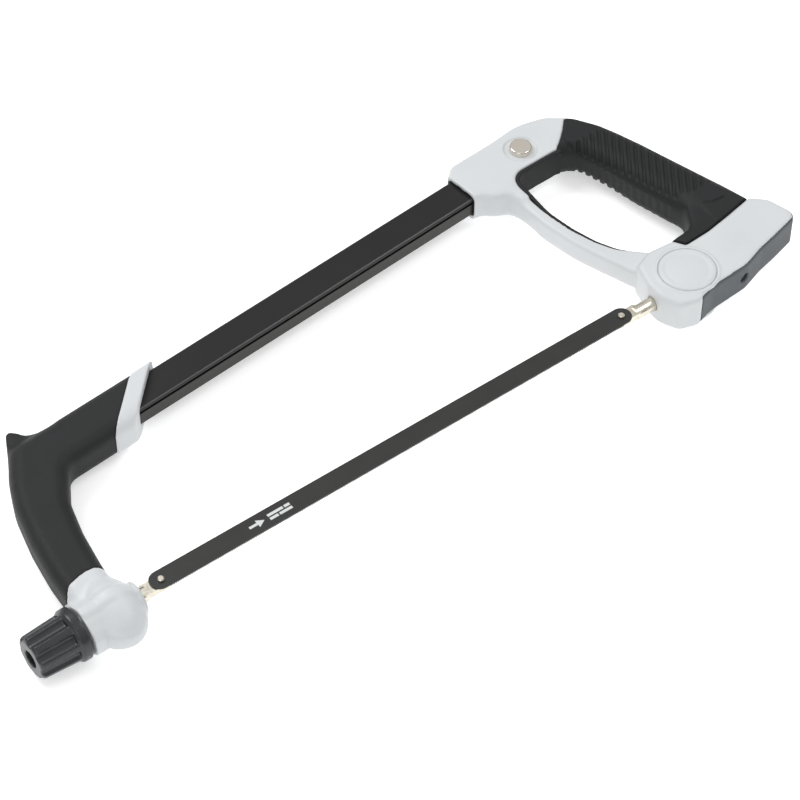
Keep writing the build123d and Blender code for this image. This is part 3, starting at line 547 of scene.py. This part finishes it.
steps = 96
for name, facing in (("boss_cover_left", 1), ("boss_cover_right", -1)):
    low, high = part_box(name)
    cx, cy, _ = saw((low + high) / 2)
    radius = (high.x - low.x) / MM / 2
    bottom, top = sorted((saw(low)[2], saw(high)[2]), key=lambda z: z * facing)
    profile = [(0.0, top), (6.0, top - 0.05 * facing), (radius - 5.6, top - 0.35 * facing)]
    profile += [(radius - 4.6, top - 0.7 * facing), (radius - 3.9, top - 0.75 * facing)]
    profile += [(radius - 3.2, top - 0.5 * facing), (radius - 2.6, top - 0.35 * facing)]
    profile += [(radius - 1.0, top - 0.5 * facing), (radius - 0.35, top - 0.95 * facing)]
    profile += [(radius - 0.05, top - 1.4 * facing), (radius - 0.05, bottom), (0.0, bottom)]
    bm = bmesh.new()
    rings = []
    for r, z in profile:
        if r == 0:
            rings.append([bm.verts.new(place(cx, cy, z))])
        else:
            circle = arc(cx, cy, r, 0, 360, steps)[:-1]
            rings.append([bm.verts.new(place(px, py, z)) for px, py in circle])
    for a, b in zip(rings, rings[1:]):
        for i in range(steps):
            j = (i + 1) % steps
            quad = [a[i % len(a)], a[j % len(a)], b[j % len(b)], b[i % len(b)]]
            bm.faces.new(dict.fromkeys(quad))
    bmesh.ops.recalc_face_normals(bm, faces=bm.faces)
    mesh = bpy.data.meshes.new(name + "_disc")
    bm.to_mesh(mesh)
    bm.free()
    piece(name + "_disc", mesh, "frame", grey_plastic, [name])

# ---- base bumper --------------------------------------------------------------------------
# Mid-grey rubber foot let into the base and held by one small screw. Moulded, smooth and dull.

bumper_rubber, tree, spot = new_finish("mid_grey_rubber")
grain = add(tree, "TexNoise", [("Vector", spot, "Vector")], _Scale=1 / 0.56, _Detail=4.0)
cloud = add(tree, "TexNoise", [("Vector", spot, "Vector")], _Scale=1 / 12.5, _Detail=3.0)
tone = add(tree, "Mix", [(0, cloud, "Fac")], data_type="RGBA", in6=colour("#484D51"), in7=colour("#545A5E"))
rough = add(tree, "MapRange", [(0, grain, "Fac")], in1=0.3, in2=0.7, in3=0.5, in4=0.64)
close_finish(tree, (tone, 2), (rough, "Result"), (grain, "Fac"), 0.04)
mesh = moulded("base_bumper_foot", ["base_bumper"], 0.5, 2)
piece("base_bumper_foot", mesh, "frame", bumper_rubber, ["base_bumper"])

# ---- bumper screw -------------------------------------------------------------------------
# One small countersunk steel screw, deep in the bumper, chemically blackened: nearly black, oily.

black_oxide, tree, spot = new_finish("black_oxide_steel")
cloud = add(tree, "TexNoise", [("Vector", spot, "Vector")], _Scale=1 / 1, _Detail=4.0)
tone = add(tree, "Mix", [(0, cloud, "Fac")], data_type="RGBA", in6=colour("#0F0F10"), in7=colour("#1B1B1D"))
rough = add(tree, "MapRange", [(0, cloud, "Fac")], in1=0.3, in2=0.7, in3=0.4, in4=0.55)
close_finish(tree, (tone, 2), (rough, "Result"), (cloud, "Fac"), 0.02)
refinish(black_oxide, "bumper_screw")

# ---- floor, light and camera --------------------------------------------------------------
# The saw lies on a plain white table under large soft lamps. None of this is part of the saw.

table_top, tree, spot = new_finish("white_table")
cloud = add(tree, "TexNoise", [("Vector", spot, "Vector")], _Scale=1 / 250, _Detail=2.0)
tone = add(tree, "Mix", [(0, cloud, "Fac")], data_type="RGBA", in6=colour("#F6F6F6"), in7=colour("#FAFAFA"))
rough = add(tree, "MapRange", [(0, cloud, "Fac")], in1=0.3, in2=0.7, in3=0.75, in4=0.85)
close_finish(tree, (tone, 2), (rough, "Result"), (cloud, "Fac"), 0.01,
             _Emission_Color=(1.0, 1.0, 1.0, 1.0), _Emission_Strength=0.45)
TABLE_HALF = 6.0
mesh = bpy.data.meshes.new("table")
mesh.from_pydata([(-TABLE_HALF, -TABLE_HALF, 0), (TABLE_HALF, -TABLE_HALF, 0), (TABLE_HALF, TABLE_HALF, 0),
                  (-TABLE_HALF, TABLE_HALF, 0)], [], [(0, 1, 2, 3)])
mesh.materials.append(table_top)
table = bpy.data.objects.new("table", mesh)
bpy.context.scene.collection.objects.link(table)

scene = bpy.context.scene
world = bpy.data.worlds.new("studio")
world.use_nodes = True
tree = world.node_tree
sky = tree.nodes["Background"]
height = add(tree, "SeparateXYZ", [(0, add(tree, "TexCoord"), "Generated")])
glow = add(tree, "MapRange", [(0, height, "Z")], in1=0.0, in2=0.75, in3=0.16, in4=0.72)
tree.links.new(glow.outputs["Result"], sky.inputs["Strength"])
sky.inputs["Color"].default_value = (1.0, 1.0, 1.0, 1.0)
scene.world = world
scene.view_settings.view_transform = "Standard"

middle = (cad_box[0] + cad_box[1]) / 2
LAMPS = [("key", (-0.4, 1.0, 1.4), 1.0, 13.0), ("fill", (-1.3, -0.8, 1.0), 1.4, 4.0),
         ("edge", (0.9, -0.45, 1.4), 0.6, 6.0)]
for name, where, size, power in LAMPS:
    lamp = bpy.data.lights.new(name, "AREA")
    lamp.shape = "DISK"
    lamp.size = size
    lamp.energy = power
    stand = bpy.data.objects.new(name, lamp)
    stand.location = middle + Vector(where)
    stand.rotation_mode = "QUATERNION"
    stand.rotation_quaternion = Vector(where).to_track_quat("Z", "Y")
    scene.collection.objects.link(stand)

ELEVATION, AZIMUTH, DISTANCE = 48.0, -37.18, 1455.5
AIM = place(167.8, 24.2, BLADE_MIDDLE)
a, e = math.radians(AZIMUTH), math.radians(ELEVATION)
back = Vector((math.sin(a) * math.cos(e), -math.cos(a) * math.cos(e), math.sin(e)))
lens = bpy.data.cameras.new("camera")
lens.sensor_width = 36.0
lens.lens = 124.2          # millimetres, and so is DISTANCE
lens.clip_start, lens.clip_end = 0.05, 50.0
camera = bpy.data.objects.new("camera", lens)
camera.location = AIM + back * (DISTANCE * MM)
camera.rotation_mode = "QUATERNION"
camera.rotation_quaternion = back.to_track_quat("Z", "Y")
scene.collection.objects.link(camera)
scene.camera = camera
